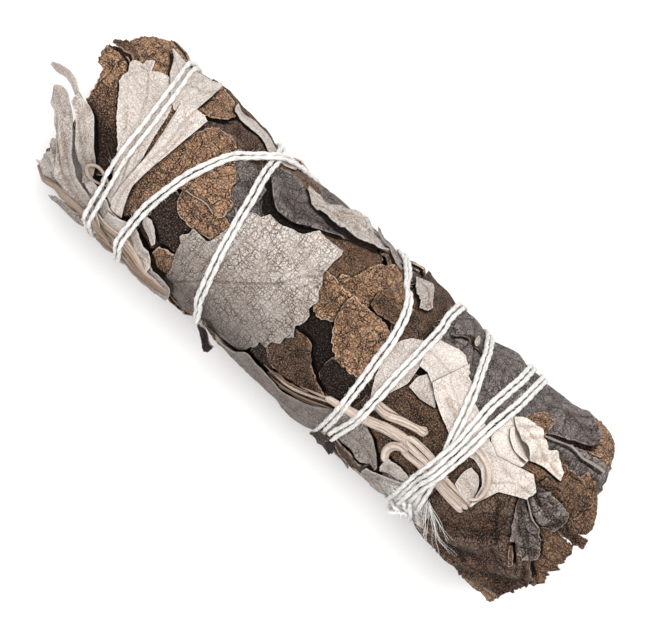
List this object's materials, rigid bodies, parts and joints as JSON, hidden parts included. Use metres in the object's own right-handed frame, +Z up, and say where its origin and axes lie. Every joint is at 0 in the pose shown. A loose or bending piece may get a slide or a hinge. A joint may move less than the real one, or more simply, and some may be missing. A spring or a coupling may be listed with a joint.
{
  "type": "smudge stick",
  "caption": "Short bundle of dried sage leaves and sprigs bound along its length with doubled cotton string, for burning as incense",
  "frame": {"origin": "centre of the bounding box in plan, on the surface that the bundle lies on", "axes": "+X along the bundle, from the curled-leaf end to the dark blunt end; +Y across it; +Z up"},
  "size_m": [0.1124, 0.033, 0.0341],
  "materials": {
    "sage_leaf": "dry downy leaf, warm pale grey",
    "brown_leaf": "dry leathery leaf, light brown with darker netted veins",
    "brown_leaf_dull": "dry crumpled leaf, dull brown",
    "dark_leaf": "dry leathery leaf, grey-brown to almost black",
    "stalk": "dry peeled stem, straw to pinkish tan",
    "cotton_string": "soft undyed cotton string, fuzzy"
  },
  "bodies": {
    "root": {"inner_sprig_1": "brown_leaf_dull", "inner_sprig_2": "brown_leaf_dull", "inner_sprig_3": "brown_leaf_dull", "inner_sprig_4": "brown_leaf_dull", "tip_leaf_1": "dark_leaf", "tip_leaf_2": "dark_leaf", "tip_leaf_3": "brown_leaf_dull", "tip_leaf_4": "dark_leaf", "tip_leaf_5": "dark_leaf", "tip_leaf_6": "dark_leaf", "tip_leaf_7": "dark_leaf", "flank_leaf_1": "dark_leaf", "flank_leaf_2": "brown_leaf_dull", "flank_leaf_3": "brown_leaf_dull", "flank_leaf_4": "dark_leaf", "flank_leaf_5": "dark_leaf", "lens_leaf": "dark_leaf", "lower_leaf_1": "brown_leaf_dull", "lower_leaf_2": "brown_leaf_dull", "lower_leaf_3": "brown_leaf_dull", "net_leaf": "brown_leaf_dull", "brown_leaf_1": "brown_leaf", "brown_leaf_2": "brown_leaf", "brown_leaf_3": "brown_leaf", "brown_leaf_4": "brown_leaf", "brown_leaf_5": "brown_leaf", "brown_leaf_6": "brown_leaf", "big_pale_leaf": "sage_leaf", "end_pale_leaf": "sage_leaf", "end_grey_leaf": "sage_leaf", "trumpet_leaf": "sage_leaf", "flank_pale_leaf": "sage_leaf", "curled_leaf_1": "sage_leaf", "curled_leaf_2": "sage_leaf", "fan_leaf": "sage_leaf", "curled_leaf_3": "sage_leaf", "low_pale_leaf_1": "sage_leaf", "low_pale_leaf_2": "sage_leaf", "low_pale_leaf_3": "sage_leaf", "low_pale_leaf_4": "sage_leaf", "fold_leaf_1": "sage_leaf", "fold_leaf_2": "sage_leaf", "fold_leaf_3": "sage_leaf", "crumple_leaf": "sage_leaf", "under_leaf_1": "dark_leaf", "under_leaf_2": "brown_leaf", "under_leaf_3": "dark_leaf", "under_leaf_4": "dark_leaf", "under_leaf_5": "dark_leaf", "under_leaf_6": "brown_leaf_dull", "under_leaf_7": "brown_leaf", "under_leaf_8": "dark_leaf", "rest_leaf_1": "sage_leaf", "rest_leaf_2": "dark_leaf", "rest_leaf_3": "brown_leaf", "twig": "stalk", "stalk_1": "stalk", "stalk_2": "stalk", "binding_string": "cotton_string"}
  },
  "joints": []
}
